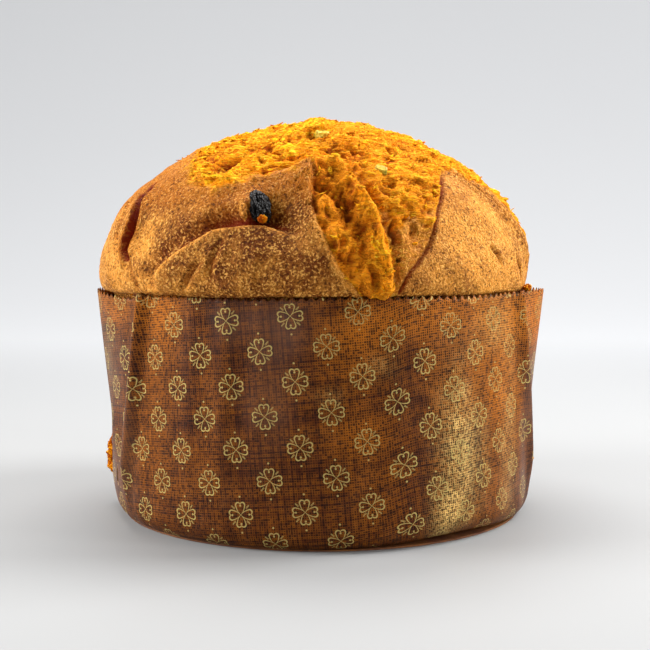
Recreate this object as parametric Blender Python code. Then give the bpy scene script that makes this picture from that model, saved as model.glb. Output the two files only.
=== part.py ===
"""A panettone in its paper baking case, with two raisins and two pieces of candied citron at its crust.

Run it with: blender --background --python part.py

The loaf stands on the case's flat base. +Z is up, -Y is the front, and the origin is the centre of
the base where it rests. Sizes below are in millimetres, and MM turns them into Blender's metres.
Places on the dome are given as (azimuth, height): the azimuth is in degrees round Z from the front,
positive towards +X, and the height is in millimetres above the base.
"""

import math

import bmesh
import bpy
from mathutils import Matrix, Vector

MM = 0.001

# The paper case: a cup of stiff paper with a pinked rim.
CASE_RADIUS = 85.0
CASE_HEIGHT = 89.5
PAPER = 0.5
BASE_RADIUS = 79.0
FOOT_HEIGHT = 7.5
TOOTH_DEPTH = 1.7
COLUMNS = 80
TEETH_PER_COLUMN = 2

# The paper stands off the loaf in two flaps, one at each side.
LEFT_FLAP = {"crease": -53.0, "crown": -88.0, "end": -128.0, "flare": 7.6}
RIGHT_FLAP = {"crease": 62.0, "crown": 86.0, "end": 122.0, "flare": 6.4}
FLAP_FOOT = 26.0
CREASE_PROUD = 1.3

# Crumb pushes out through the paper where the hanging needles went through the base of the loaf.
NEEDLE_HOLES = [
    {"azimuth": -90.0, "height": 22.0, "wide": 13.0, "tall": 11.0, "proud": 4.2},
    {"azimuth": 90.0, "height": 17.0, "wide": 9.0, "tall": 7.5, "proud": 3.2},
]

# The loaf: a body that fills the case, and a dome that spreads over its rim.
CLEARANCE = 0.3
LIP_HEIGHT = CASE_HEIGHT + CLEARANCE
DOME_TOP = 160.5
DOME_LEAN = 0.016  # the share by which the dome is wider towards -X and narrower towards +X
DOME_SHIFT = Vector((-2.0, 0.0, 0.0))
DOME_PROFILE = [
    (86.7, 90.1), (87.6, 94.0), (87.9, 99.0), (87.4, 104.5), (86.2, 110.5), (84.6, 116.0),
    (81.9, 121.0), (78.2, 126.0), (73.6, 131.0), (67.9, 136.0), (60.6, 141.2), (51.4, 146.6),
    (40.4, 151.6), (27.4, 156.0), (13.6, 159.2),
]

# Seams of the dome, as (azimuth, height), each from its upper or left end.
FOLD = [(-42, 92), (-36, 104), (-27, 112), (-13, 116.5), (-3, 111.5)]
LEFT_SPLIT = [(-65, 135), (-58, 124), (-57, 115), (-57, 108), (-52, 101), (-48, 91)]
TEAR_LEFT_EDGE = [(-1, 138), (-1, 126), (0.5, 117), (4, 104), (8.5, 92)]
TEAR_RIDGE = [(11, 138), (12, 129), (15, 118), (16, 106), (16.5, 92)]
RIGHT_FLAP_EDGE = [(43, 136), (36.5, 126), (32, 118), (27, 105), (20.5, 92)]
BACK_BAND_EDGE = [(31, 139), (48, 137), (60, 127), (68, 116), (76, 102), (79, 92)]
BACK_TEAR = [(165, 140), (168, 126), (172, 112), (176, 92)]
BACK_FLAP_EDGE = [(122, 137), (130, 124), (138, 108), (141, 92)]
BACK_FOLD = [(-92, 96), (-104, 110), (-120, 118), (-138, 116), (-150, 104)]
BACK_SPLIT = [(112, 130), (106, 118), (104, 104), (107, 92)]

# Fruit at the crust: semi-axes are (across, along, deep); turn is in degrees on the surface.
FRUIT = [
    {"name": "raisin_front", "at": (-15.0, 122.5), "semi": (4.6, 6.8, 3.9), "turn": 24.0,
     "sunk": 0.25, "wrinkle": 0.14, "colour": (0.016, 0.012, 0.012)},
    {"name": "raisin_split", "at": (-57.5, 109.5), "semi": (2.9, 5.6, 3.0), "turn": -8.0,
     "sunk": 0.1, "wrinkle": 0.12, "colour": (0.075, 0.012, 0.008)},
    {"name": "citron_top", "at": (4.0, 152.5), "semi": (3.6, 4.2, 2.8), "turn": 20.0,
     "sunk": 0.4, "wrinkle": 0.05, "colour": (0.72, 0.42, 0.045)},
    {"name": "citron_side", "at": (20.0, 136.0), "semi": (2.8, 2.2, 2.0), "turn": -30.0,
     "sunk": 0.4, "wrinkle": 0.05, "colour": (0.46, 0.36, 0.06)},
]


def smooth_step(x):
    """0 below 0, 1 above 1, and a smooth rise between them."""
    x = min(1.0, max(0.0, x))
    return x * x * (3 - 2 * x)


def angle_between(a, b):
    """How far azimuth a lies past azimuth b, from -180 to 180 degrees."""
    return (a - b + 180) % 360 - 180


def around(azimuth, radius, height):
    """The point at an azimuth from the front, a radius and a height, in millimetres."""
    turn = math.radians(azimuth)
    return Vector((radius * math.sin(turn), -radius * math.cos(turn), height))


def paint(name, colour, roughness):
    material = bpy.data.materials.new(name)
    material.use_nodes = True
    surface = material.node_tree.nodes["Principled BSDF"]
    surface.inputs["Base Color"].default_value = (*colour, 1.0)
    surface.inputs["Roughness"].default_value = roughness
    surface.inputs["Metallic"].default_value = 0.0
    return material


def as_object(name, mesh_data, material):
    """Turns a bmesh in millimetres into an object in metres."""
    mesh_data.normal_update()
    bmesh.ops.recalc_face_normals(mesh_data, faces=mesh_data.faces)
    mesh_data.transform(Matrix.Scale(MM, 4))
    mesh = bpy.data.meshes.new(name)
    mesh_data.to_mesh(mesh)
    mesh_data.free()
    mesh.materials.append(material)
    mesh.shade_smooth()
    made = bpy.data.objects.new(name, mesh)
    bpy.context.scene.collection.objects.link(made)
    return made


def ring(mesh_data, points):
    return [mesh_data.verts.new(point) for point in points]


def join_rings(mesh_data, lower, upper):
    """Faces between two rings. The upper ring may hold a whole number of points for each lower one."""
    count = len(lower)
    step = len(upper) // count
    for i in range(count):
        after = (i + 1) % count
        top = [upper[(i * step + k) % len(upper)] for k in range(step + 1)]
        if step == 1:
            mesh_data.faces.new((lower[i], lower[after], top[1], top[0]))
            continue
        middle = step // 2
        for k in range(step):
            foot = lower[i] if k < middle else lower[after]
            mesh_data.faces.new((foot, top[k + 1], top[k]))
        mesh_data.faces.new((lower[i], lower[after], top[middle]))


def close_ring(mesh_data, points, height):
    """A fan that closes a ring at its own centre."""
    centre = mesh_data.verts.new((
        sum(v.co.x for v in points) / len(points),
        sum(v.co.y for v in points) / len(points),
        height,
    ))
    for i, corner in enumerate(points):
        mesh_data.faces.new((corner, points[(i + 1) % len(points)], centre))


# The dome's surface

def dome_slope(height):
    """The dome's radius at a height, and the outward normal there as (radial, upward)."""
    profile = [*DOME_PROFILE, (0.0, DOME_TOP)]
    height = min(max(height, profile[0][1]), profile[-1][1] - 0.01)
    for (low_radius, low), (high_radius, high) in zip(profile, profile[1:]):
        if height <= high:
            share = (height - low) / (high - low)
            run = Vector((high_radius - low_radius, high - low)).normalized()
            return low_radius + share * (high_radius - low_radius), Vector((run.y, -run.x))
    raise ValueError(height)


def dome_base(azimuth, height):
    """A point of the plain dome, before its folds and tears, and the normal there."""
    radius, slope = dome_slope(height)
    radius *= 1 - DOME_LEAN * math.sin(math.radians(azimuth))
    return around(azimuth, radius, height), around(azimuth, slope.x, slope.y)


class Seam:
    """A line on the dome along which the crust folds, splits or tears."""

    def __init__(self, path):
        self.points = [dome_base(azimuth, height)[0] for azimuth, height in path]

    def measure(self, point, normal):
        """How far the point lies to the seam's right, seen from outside, and its share of the length."""
        best = None
        spans = len(self.points) - 1
        for i, (start, end) in enumerate(zip(self.points, self.points[1:])):
            run = end - start
            share = min(1.0, max(0.0, (point - start).dot(run) / run.length_squared))
            away = point - (start + run * share)
            if best is None or away.length < abs(best[0]):
                side = 1.0 if normal.dot(away.cross(run)) > 0 else -1.0
                best = (side * away.length, (i + share) / spans)
        return best


def ends(share):
    """Fades a seam out towards both of its ends."""
    return smooth_step(share / 0.2) * smooth_step((1 - share) / 0.15)


def groove(measured, depth, width):
    across, share = measured
    return -depth * math.exp(-((across / width) ** 2)) * ends(share)


def raised_side(measured, height, reach, side=1):
    """A step up on one side of the seam, which sinks back to the dome over its reach."""
    across, share = measured
    across *= side
    up = smooth_step(0.5 + across / 4.0)
    return height * up * math.exp(-((max(0.0, across) / reach) ** 2)) * ends(share)


SEAMS = {
    "fold": Seam(FOLD),
    "left_split": Seam(LEFT_SPLIT),
    "tear_left_edge": Seam(TEAR_LEFT_EDGE),
    "tear_ridge": Seam(TEAR_RIDGE),
    "right_flap_edge": Seam(RIGHT_FLAP_EDGE),
    "back_band_edge": Seam(BACK_BAND_EDGE),
    "back_tear": Seam(BACK_TEAR),
    "back_flap_edge": Seam(BACK_FLAP_EDGE),
    "back_fold": Seam(BACK_FOLD),
    "back_split": Seam(BACK_SPLIT),
}


def relief(point, normal):
    """How far the crust stands out of the plain dome, in millimetres."""
    at = {name: seam.measure(point, normal) for name, seam in SEAMS.items()}
    return (
        raised_side(at["fold"], 2.6, 20.0) + groove(at["fold"], 1.8, 5.0)
        + raised_side(at["left_split"], 3.4, 24.0) + groove(at["left_split"], 6.0, 4.0)
        + raised_side(at["tear_left_edge"], 1.2, 16.0)
        + raised_side(at["tear_ridge"], 2.8, 9.0) + groove(at["tear_ridge"], 1.0, 7.0)
        + raised_side(at["right_flap_edge"], 1.8, 30.0, side=-1)
        + raised_side(at["back_band_edge"], 1.4, 12.0)
        + raised_side(at["back_tear"], 2.8, 9.0) + groove(at["back_tear"], 1.6, 7.0)
        + raised_side(at["back_flap_edge"], 1.8, 26.0, side=-1)
        + raised_side(at["back_fold"], 2.4, 20.0) + groove(at["back_fold"], 1.8, 5.0)
        + groove(at["back_split"], 4.0, 4.0)
        + 1.2 * math.sin(point.x * 0.11) * math.cos(point.y * 0.13) * smooth_step((point.z - 120) / 30)
    )


def dome_point(azimuth, height):
    """A point of the crust and the plain dome's normal there."""
    base, normal = dome_base(azimuth, height)
    point = base + normal * relief(base, normal) + DOME_SHIFT
    point.z = max(point.z, LIP_HEIGHT)
    return point, normal


# The paper case

def wall_profile():
    """The case's outer wall as (radius, height), up to the foot of its teeth."""
    foot = [
        (
            BASE_RADIUS + (CASE_RADIUS - BASE_RADIUS) * math.sin(turn),
            FOOT_HEIGHT * (1 - math.cos(turn)),
        )
        for turn in (math.radians(30 * i) for i in range(4))
    ]
    wall = [(CASE_RADIUS, height) for height in (15, 24, 36, 48, 60, 74)]
    return foot + wall


def flap(azimuth, height):
    """How far a side flap stands off the loaf."""
    off = 0.0
    for one in (LEFT_FLAP, RIGHT_FLAP):
        past = abs(angle_between(azimuth, one["crease"]))
        beyond = angle_between(azimuth, one["crown"]) * (1 if one["crown"] > 0 else -1)
        half = abs(one["crown"] - one["crease"]) if beyond < 0 else abs(one["end"] - one["crown"])
        bulge = smooth_step(1 - abs(beyond) / half)
        rise = max(0.0, height - FLAP_FOOT) / (CASE_HEIGHT - FLAP_FOOT)
        off += one["flare"] * bulge * rise
        off += CREASE_PROUD * math.exp(-((past / 3.5) ** 2)) * smooth_step(rise)
    return off


def case_ring(radius, height, inset, per_column=1, tooth=0.0):
    """Points round the case. A tooth lowers every other point of the rim."""
    count = COLUMNS * per_column
    points = []
    for i in range(count):
        azimuth = 360 * i / count
        column = int(i / per_column) * 360 / COLUMNS
        along = (i % per_column) / per_column
        # Points between two columns lie on the straight facet that joins them.
        start = around(column, radius - inset + flap(column, height), height)
        far = column + 360 / COLUMNS
        end = around(far, radius - inset + flap(far, height), height)
        point = start.lerp(end, along) if per_column > 1 else around(
            azimuth, radius - inset + flap(azimuth, height), height)
        point.z -= tooth * (i % 2)
        points.append(point)
    return points


def paper_case(material):
    made = bmesh.new()
    profile = wall_profile()
    rim_points = TEETH_PER_COLUMN * 2
    sides = []
    for inset in (0.0, PAPER):
        floor = inset
        rings = [
            ring(made, case_ring(radius, max(height, floor), inset)) for radius, height in profile
        ]
        below = ring(made, case_ring(CASE_RADIUS, CASE_HEIGHT - 4, inset))
        rim = ring(made, case_ring(CASE_RADIUS, CASE_HEIGHT, inset, rim_points, TOOTH_DEPTH))
        for lower, upper in zip(rings, rings[1:] + [below]):
            join_rings(made, lower, upper)
        join_rings(made, below, rim)
        close_ring(made, rings[0], floor)
        sides.append(rim)
    join_rings(made, *sides)
    case = as_object("paper_case", made, material)
    for hole in NEEDLE_HOLES:
        open_hole(case, hole)
    return case


def ellipsoid(semi, wrinkle=0.0, segments=14, rings=8):
    """A round body about the origin, with wrinkles along it as dried fruit has."""
    made = bmesh.new()
    bmesh.ops.create_uvsphere(made, u_segments=segments, v_segments=rings, radius=1.0)
    for vertex in made.verts:
        way = vertex.co.copy()
        turn = math.atan2(way.y, way.x)
        scale = 1 + wrinkle * math.sin(5 * turn + 2.3 * way.z) * math.sqrt(max(0.0, 1 - way.z ** 2))
        vertex.co = Vector((way.x * semi[0], way.y * semi[2], way.z * semi[1])) * scale
    return made


def cut(target, tool):
    """Takes the tool's shape out of the target. The tool is a guide, and not part of the object."""
    tool.hide_render = True
    tool.display_type = "WIRE"
    boolean = target.modifiers.new("cut_" + tool.name, "BOOLEAN")
    boolean.operation = "DIFFERENCE"
    boolean.solver = "EXACT"
    boolean.object = tool


def open_hole(case, hole):
    """The torn hole in the paper round a needle's mark."""
    made = ellipsoid((hole["wide"], hole["tall"], 9.0), segments=12, rings=8)
    made.transform(Matrix.Rotation(math.radians(hole["azimuth"]), 4, "Z"))
    made.transform(Matrix.Translation(around(hole["azimuth"], CASE_RADIUS, hole["height"])))
    tool = as_object(f"hole_{'left' if hole['azimuth'] < 0 else 'right'}", made, case.data.materials[0])
    cut(case, tool)


# The loaf

def blow_out(azimuth, height):
    """How far crumb bulges through a needle's hole, kept clear of the paper's edge."""
    out = 0.0
    for hole in NEEDLE_HOLES:
        across = math.radians(angle_between(azimuth, hole["azimuth"])) * CASE_RADIUS
        far = math.hypot(across / (0.62 * hole["wide"]), (height - hole["height"]) / (0.72 * hole["tall"]))
        out += hole["proud"] * smooth_step(1.25 * (1 - far))
    return out


def loaf(material):
    made = bmesh.new()
    inset = PAPER + CLEARANCE
    body = [(radius - inset, max(height, inset)) for radius, height in wall_profile()[:4]]
    body += [(CASE_RADIUS - inset, height) for height in (11, 14.5, 18, 21.5, 25, 29, 34, 52, 72)]
    body.append((CASE_RADIUS - inset, LIP_HEIGHT))
    azimuths = [360 * i / COLUMNS for i in range(COLUMNS)]
    rings = [
        ring(made, [around(a, radius + blow_out(a, height), height) for a in azimuths])
        for radius, height in body
    ]
    for _, height in DOME_PROFILE:
        rings.append(ring(made, [dome_point(a, height)[0] for a in azimuths]))
    for lower, upper in zip(rings, rings[1:]):
        join_rings(made, lower, upper)
    close_ring(made, rings[0], inset)
    close_ring(made, rings[-1], DOME_TOP)
    return as_object("loaf", made, material)


def fruit_shape(one, grow=0.0):
    """A piece of fruit where it lies in the crust, or the pocket that holds it if it grows."""
    point, normal = dome_point(*one["at"])
    made = ellipsoid([size + grow for size in one["semi"]], one["wrinkle"])
    up = (Vector((0, 0, 1)) - normal * normal.z).normalized()
    right = up.cross(normal)
    turn = math.radians(one["turn"])
    long_way = up * math.cos(turn) - right * math.sin(turn)
    wide_way = normal.cross(long_way)
    frame = Matrix((wide_way, normal, long_way)).transposed().to_4x4()
    made.transform(Matrix.Translation(point - normal * one["sunk"] * one["semi"][2]) @ frame)
    return made


def build():
    for old in list(bpy.data.objects):
        bpy.data.objects.remove(old, do_unlink=True)
    crust = paint("crust", (0.47, 0.22, 0.055), 0.75)
    bread = loaf(crust)
    paper_case(paint("case_paper", (0.19, 0.062, 0.022), 0.55))
    for one in FRUIT:
        as_object(one["name"], fruit_shape(one), paint(one["name"], one["colour"], 0.35))
        cut(bread, as_object("pocket_" + one["name"], fruit_shape(one, CLEARANCE + 0.1), crust))


build()
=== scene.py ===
import math
import random

import bpy
import numpy as np
from mathutils import Matrix, Vector, noise


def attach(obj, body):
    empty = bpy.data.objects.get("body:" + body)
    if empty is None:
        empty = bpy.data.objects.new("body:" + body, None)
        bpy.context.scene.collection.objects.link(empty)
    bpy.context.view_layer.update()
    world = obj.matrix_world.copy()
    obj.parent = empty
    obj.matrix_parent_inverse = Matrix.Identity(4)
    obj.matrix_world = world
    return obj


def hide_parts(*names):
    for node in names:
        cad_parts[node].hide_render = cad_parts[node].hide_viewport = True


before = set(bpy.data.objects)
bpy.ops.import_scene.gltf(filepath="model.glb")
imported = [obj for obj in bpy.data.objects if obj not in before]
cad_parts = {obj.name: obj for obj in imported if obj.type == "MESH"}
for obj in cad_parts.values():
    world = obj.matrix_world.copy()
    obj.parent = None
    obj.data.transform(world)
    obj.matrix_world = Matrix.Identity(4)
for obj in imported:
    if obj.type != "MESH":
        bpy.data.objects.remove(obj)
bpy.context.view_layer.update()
scene = bpy.context.scene
random.seed(11)
mm = 0.001


# small helpers for the modelling steps

def clearSelection():
    if bpy.context.object and bpy.context.object.mode != "OBJECT":
        bpy.ops.object.mode_set(mode="OBJECT")
    bpy.ops.object.select_all(action="DESELECT")


def vertexPlaces(piece):
    flat = np.empty(len(piece.data.vertices) * 3)
    piece.data.vertices.foreach_get("co", flat)
    return flat.reshape(-1, 3)


def placeVertices(piece, places):
    piece.data.vertices.foreach_set("co", np.ascontiguousarray(places, dtype=float).ravel())
    piece.data.update()


def applyAll(piece):
    clearSelection()
    bpy.context.view_layer.objects.active = piece
    piece.select_set(True)
    for modifier in list(piece.modifiers):
        bpy.ops.object.modifier_apply(modifier=modifier.name)


def addMask(piece, name, values):
    # one colour attribute holds up to four masks that the materials read
    colours = np.ones((len(piece.data.vertices), 4))
    for channel, mask in enumerate(values):
        colours[:, channel] = np.clip(mask, 0, 1)
    layer = piece.data.color_attributes.new(name, "FLOAT_COLOR", "POINT")
    layer.data.foreach_set("color", colours.ravel())


def recalculate(piece):
    clearSelection()
    bpy.context.view_layer.objects.active = piece
    piece.select_set(True)
    bpy.ops.object.mode_set(mode="EDIT")
    bpy.ops.mesh.select_all(action="SELECT")
    bpy.ops.mesh.normals_make_consistent(inside=False)
    bpy.ops.object.mode_set(mode="OBJECT")


def finishPiece(piece, material, slot, *nodes):
    piece.data.materials.clear()
    piece.data.materials.append(material)
    clearSelection()
    bpy.context.view_layer.objects.active = piece
    piece.select_set(True)
    bpy.ops.object.shade_smooth()
    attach(piece, "root")
    if nodes:
        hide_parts(*nodes)
    return piece


def smoothStep(x):
    x = np.clip(x, 0, 1)
    return x * x * (3 - 2 * x)


def bump(x, width):
    return np.exp(-((x / width) ** 2))


def roughness(points, size, octaves=3, seed=0.0, kind="fractal"):
    # a noise value for each point, with the size of its lumps in millimetres
    shift = Vector((seed * 3.7, seed * -5.1, seed * 2.3))
    values = np.empty(len(points))
    for i, point in enumerate(points):
        at = Vector(point) / size + shift
        if kind == "ridged":
            values[i] = noise.ridged_multi_fractal(at, 0.9, 2.1, octaves, 1.0, 2.0) - 1.0
        else:
            values[i] = noise.fractal(at, 0.9, 2.1, octaves)
    return values


# materials

def newMaterial(name):
    material = bpy.data.materials.new(name)
    material.use_nodes = True
    return material, material.node_tree, material.node_tree.nodes["Principled BSDF"]


class Wires:
    # short names for laying nodes in a tree
    def __init__(self, tree):
        self.tree = tree

    def node(self, kind, **settings):
        made = self.tree.nodes.new(kind)
        for name, value in settings.items():
            setattr(made, name, value)
        return made

    def join(self, source, target):
        if hasattr(source, "is_linked"):
            self.tree.links.new(source, target)
        else:
            target.default_value = source

    def calc(self, operation, first, second=0.0, third=0.0, clamp=False):
        made = self.node("ShaderNodeMath", operation=operation, use_clamp=clamp)
        for socket, value in zip(made.inputs, (first, second, third)):
            self.join(value, socket)
        return made.outputs[0]

    def spread(self, value, low, high, toLow=0.0, toHigh=1.0, smooth=False):
        made = self.node("ShaderNodeMapRange")
        if smooth:
            made.interpolation_type = "SMOOTHSTEP"
        for socket, given in zip(made.inputs, (value, low, high, toLow, toHigh)):
            self.join(given, socket)
        return made.outputs[0]

    def mix(self, share, first, second, blend="MIX"):
        made = self.node("ShaderNodeMix", data_type="RGBA", blend_type=blend)
        self.join(share, made.inputs[0])
        self.join(first, made.inputs[6])
        self.join(second, made.inputs[7])
        return made.outputs[2]

    def cloud(self, place, scale, detail=4.0, rough=0.55, distort=0.0):
        made = self.node("ShaderNodeTexNoise")
        self.join(place, made.inputs["Vector"])
        made.inputs["Scale"].default_value = scale
        made.inputs["Detail"].default_value = detail
        made.inputs["Roughness"].default_value = rough
        made.inputs["Distortion"].default_value = distort
        return made.outputs["Fac"]


def colour(red, green, blue):
    # a colour as a painter's program shows it, 0 to 255, made linear for the shaders
    def linear(level):
        level /= 255
        return level / 12.92 if level < 0.04045 else ((level + 0.055) / 1.055) ** 2.4
    return (linear(red), linear(green), linear(blue), 1.0)


def buildBreadGrain():
    # the fine grain that crust and crumb share: light specks and dark pits that follow the grain's height,
    # partly the crust's own speckle and partly painted highlight and painted shade, and slow mottling
    group = bpy.data.node_groups.new("breadGrain", "ShaderNodeTree")
    group.interface.new_socket("Place", in_out="INPUT", socket_type="NodeSocketVector")
    for name in ("SpecksAndHighlights", "PitsAndShade", "Mottle", "Height"):
        group.interface.new_socket(name, in_out="OUTPUT", socket_type="NodeSocketFloat")
    wires = Wires(group)
    start = wires.node("NodeGroupInput")
    end = wires.node("NodeGroupOutput")
    place = start.outputs["Place"]
    fine = wires.cloud(place, 2300, 2, 0.6)
    medium = wires.cloud(place, 1150, 2, 0.55, 0.6)
    patches = wires.cloud(place, 320, 3, 0.6)
    slow = wires.cloud(place, 110, 5, 0.72)
    lumps = wires.calc("ADD", wires.calc("MULTIPLY", medium, 0.75), wires.calc("MULTIPLY", patches, 0.25))
    specksAndHighlights = wires.spread(lumps, 0.51, 0.63, smooth=True)
    pitsAndShade = wires.spread(lumps, 0.48, 0.36, smooth=True)
    wires.join(specksAndHighlights, end.inputs["SpecksAndHighlights"])
    wires.join(pitsAndShade, end.inputs["PitsAndShade"])
    wires.join(wires.spread(slow, 0.35, 0.65, smooth=True), end.inputs["Mottle"])
    height = wires.calc("ADD", wires.calc("MULTIPLY", fine, 0.25), wires.calc("MULTIPLY", lumps, 1.15))
    wires.join(height, end.inputs["Height"])
    return group


breadGrain = buildBreadGrain()

loafLook = {
    "crustLight": colour(232, 153, 58),
    "crustDark": colour(120, 58, 8),
    "crustSpeckAndHighlight": colour(248, 182, 88),
    "crustPitAndShade": colour(66, 26, 2),
    "crumbHighlight": colour(255, 192, 14),
    "crumbMid": colour(252, 152, 2),
    "crumbShade": colour(186, 84, 0),
    "strip": colour(255, 152, 34),
    "crumbThread": colour(255, 212, 72),
    "creaseShade": colour(128, 36, 0),
    "edge": colour(184, 104, 0),
}


def buildLoafMaterial(look):
    material, tree, surface = newMaterial("bakedBread")
    wires = Wires(tree)
    calc = wires.calc
    place = wires.node("ShaderNodeTexCoord").outputs["Object"]
    grain = wires.node("ShaderNodeGroup", node_tree=breadGrain)
    wires.join(place, grain.inputs["Place"])
    masks = wires.node("ShaderNodeVertexColor", layer_name="masks")
    split = wires.node("ShaderNodeSeparateColor")
    wires.join(masks.outputs["Color"], split.inputs[0])
    crumb, paintedShade, browningAndShading = split.outputs[0], split.outputs[1], split.outputs[2]
    edge = calc("SUBTRACT", 1.0, masks.outputs["Alpha"], clamp=True)
    mottle = calc("MULTIPLY", calc("SUBTRACT", grain.outputs["Mottle"], 0.5), 0.55)
    crust = wires.mix(calc("ADD", browningAndShading, mottle, clamp=True), look["crustLight"], look["crustDark"])
    crust = wires.mix(calc("MULTIPLY", edge, 0.85), crust, look["edge"])
    # specks: partly the crust's own speckle, partly painted highlight on the raised grain; pits: partly dark
    # pores, partly painted shade in the grain's hollows
    crust = wires.mix(calc("MULTIPLY", grain.outputs["SpecksAndHighlights"],
                           calc("SUBTRACT", 0.9, calc("MULTIPLY", edge, 0.5))), crust, look["crustSpeckAndHighlight"])
    crust = wires.mix(calc("MULTIPLY", grain.outputs["PitsAndShade"], 0.80), crust, look["crustPitAndShade"])
    # torn crumb: fibres drawn out sideways, with painted highlight where they stand proud and painted shade
    # where the crumb lies low and in its cracks
    drawn = wires.node("ShaderNodeMapping")
    drawn.inputs["Scale"].default_value = (0.40, 1.3, 2.0)
    wires.join(place, drawn.inputs["Vector"])
    fibres = wires.cloud(drawn.outputs[0], 330, 3, 0.60, 1.2)
    plain = calc("SUBTRACT", 1.0, calc("MULTIPLY", edge, 0.7))
    streaks = calc("ADD", 0.5, calc("MULTIPLY", calc("SUBTRACT", wires.spread(fibres, 0.36, 0.62), 0.5),
                                    plain))
    tone = calc("ADD", calc("MULTIPLY", browningAndShading, 0.62), calc("MULTIPLY", streaks, 0.38))
    torn = wires.mix(wires.spread(tone, 0.18, 0.46, smooth=True), look["crumbShade"], look["crumbMid"])
    torn = wires.mix(wires.spread(tone, 0.50, 0.84, smooth=True), torn, look["crumbHighlight"])
    crack = wires.spread(calc("ABSOLUTE", calc("SUBTRACT", fibres, 0.48)), 0.030, 0.004, smooth=True)
    thread = wires.spread(calc("ABSOLUTE", calc("SUBTRACT", fibres, 0.56)), 0.028, 0.004, smooth=True)
    torn = wires.mix(calc("MULTIPLY", edge, 0.58), torn, look["strip"])
    torn = wires.mix(calc("MULTIPLY", calc("MULTIPLY", thread, 0.55), plain), torn, look["crumbThread"])
    torn = wires.mix(calc("MULTIPLY", crack, 0.68), torn, look["crumbShade"])
    base = wires.mix(crumb, crust, torn)
    # painted shade: creases, splits, pits and low crumb are darkened towards a reddish brown
    base = wires.mix(paintedShade, base, look["creaseShade"])
    wires.join(base, surface.inputs["Base Color"])
    gloss = wires.spread(grain.outputs["SpecksAndHighlights"], 0.0, 1.0, 0.62, 0.46)
    wires.join(calc("ADD", gloss, calc("MULTIPLY", crumb, 0.35)), surface.inputs["Roughness"])
    surface.inputs["Specular IOR Level"].default_value = 0.10
    surface.inputs["Subsurface Weight"].default_value = 0.05
    surface.inputs["Subsurface Radius"].default_value = (0.003, 0.0014, 0.0005)
    surface.inputs["Subsurface Scale"].default_value = 1.0
    relief = wires.node("ShaderNodeBump")
    relief.inputs["Strength"].default_value = 1.0
    relief.inputs["Distance"].default_value = 0.0012
    fibreHeight = calc("SUBTRACT", calc("MULTIPLY", fibres, 1.5), calc("MULTIPLY", crack, 0.30))
    fibreHeight = calc("MULTIPLY", fibreHeight, crumb)
    grainHeight = calc("MULTIPLY", grain.outputs["Height"],
                       calc("SUBTRACT", 1.0, calc("MULTIPLY", crumb, 0.6)))
    wires.join(calc("ADD", grainHeight, fibreHeight), relief.inputs["Height"])
    wires.join(relief.outputs[0], surface.inputs["Normal"])
    return material


loafMaterial = buildLoafMaterial(loafLook)


# the loaf: azimuth in degrees from the front, positive to the right, and height in millimetres

dome = {
    "radius": 87.6,
    "waist": 98.0,      # height of the widest part
    "rise": 62.5,
    "shift": -2.0,      # the dome sits a little to the left in its case
    "lean": 0.016,
    "lipRadius": 83.4,  # where the dough goes down into the paper
    "lipBottom": 90.1,
    "cells": 304,
}

seamPaths = {
    "fold": [(-2.6, 111), (-7, 113.6), (-12, 116.4), (-17, 115.7), (-24, 114.5), (-27.4, 112), (-31.5, 108.4),
             (-35.8, 104.1), (-39.7, 98.6), (-42, 91)],
    "lowerWrinkle": [(-20.9, 112), (-23.7, 101.7), (-24.1, 95)],
    "leftWrinkle": [(-25.5, 104), (-29.5, 97.2), (-32.2, 91)],
    "leftSplit": [(-61, 137), (-57.2, 128), (-54.6, 121), (-54.2, 115), (-54.8, 110), (-54.0, 105.9),
                  (-52.0, 102.0)],
    "leftSplitFoot": [(-51.6, 101.4), (-49.2, 95.5), (-48.0, 89)],
    "farLeftSlit": [(-67, 122.5), (-63.3, 117.1)],
    "farLeftLip": [(-72, 131), (-66, 124), (-62.5, 117), (-60.5, 110), (-57.5, 104.5)],
    "tearLeft": [(-0.9, 138.5), (-1.4, 126.4), (0.1, 117.5), (1.7, 111.2), (3.7, 104.6), (5.7, 98.5),
                 (8.5, 92.7),
                 (11.5, 87.5)],
    "tearRidge": [(9.5, 140), (10.6, 134), (12, 129), (14.3, 123), (15.4, 115), (15.9, 109), (16.6, 103),
                  (16.9, 96.6),
                  (15.6, 88.5)],
    "rightArc": [(43.5, 135.5), (40.1, 132), (36.6, 126.5), (34.2, 122.5), (31.9, 117.8), (30.1, 112.7),
                 (28.4, 108.2),
                 (26.4, 104.5), (24.3, 101), (22.2, 97.8), (20.5, 93.3), (19.5, 90)],
    "rightWrinkle": [(49, 109), (52, 104.5), (53.5, 100)],
    "rightWrinkleLow": [(63, 104), (66, 98), (67, 93)],
    "fieldFissure": [(19.6, 118.0), (18.7, 114.5), (18.9, 111), (18.2, 107.5)],
    "fieldFissureLow": [(21.6, 118.6), (22.9, 116.5), (23.9, 114.2), (23.2, 110.5), (24.6, 107.5),
                        (25.8, 105.0)],
    "backBand": [(30.7, 139.5), (43, 138), (48.5, 136.6), (53.9, 133), (60.1, 127.2), (64, 121.4), (70, 112),
                 (76, 101),
                 (79, 91)],
    "frontTop": [(-1.1, 138.5), (-8.1, 136), (-18, 133.8), (-22.4, 131.4), (-28.6, 129), (-35, 129.9),
                 (-42, 130.5)],
    "rearTear": [(165, 142), (168, 126), (172, 112), (177, 98), (178, 88)],
    "rearTearSide": [(150, 140), (155, 127), (158, 113), (163, 100), (166, 90)],
    "rearArc": [(122, 137), (128, 126), (134, 116), (139, 104), (141, 91)],
    "rearFold": [(-88, 112), (-97, 117), (-110, 116), (-126, 107), (-138, 92)],
    "rearSplit": [(-152, 136), (-147, 124), (-146, 112), (-150, 101), (-156, 91)],
}

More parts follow.
